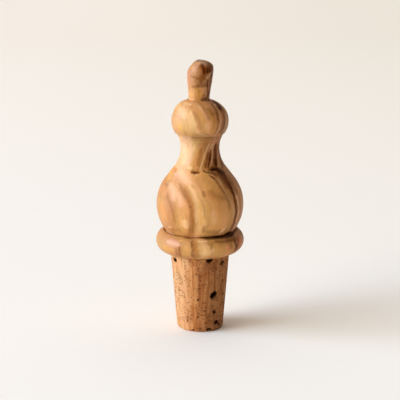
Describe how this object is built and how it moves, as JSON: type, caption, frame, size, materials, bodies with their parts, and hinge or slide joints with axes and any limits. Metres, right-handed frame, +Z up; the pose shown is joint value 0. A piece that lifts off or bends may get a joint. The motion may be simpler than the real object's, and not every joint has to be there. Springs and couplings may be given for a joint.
{
  "type": "wooden bottle stopper",
  "caption": "Turned olive wood bottle stopper with a round bulb, ball, whittled tip and collar bead on a tapered natural cork.",
  "frame": {"origin": "centre of the cork's small end, which the stopper stands on", "axes": "+Z up the turning axis, from the cork towards the whittled tip; the tip leans slightly towards +X"},
  "size_m": [0.036, 0.036, 0.112],
  "materials": {
    "olive_wood": "oiled satin, with flowing brown grain",
    "natural_cork": "matte, with small dark pits"
  },
  "bodies": {
    "root": {"turned_head": "olive_wood", "tapered_cork": "natural_cork"}
  },
  "joints": []
}
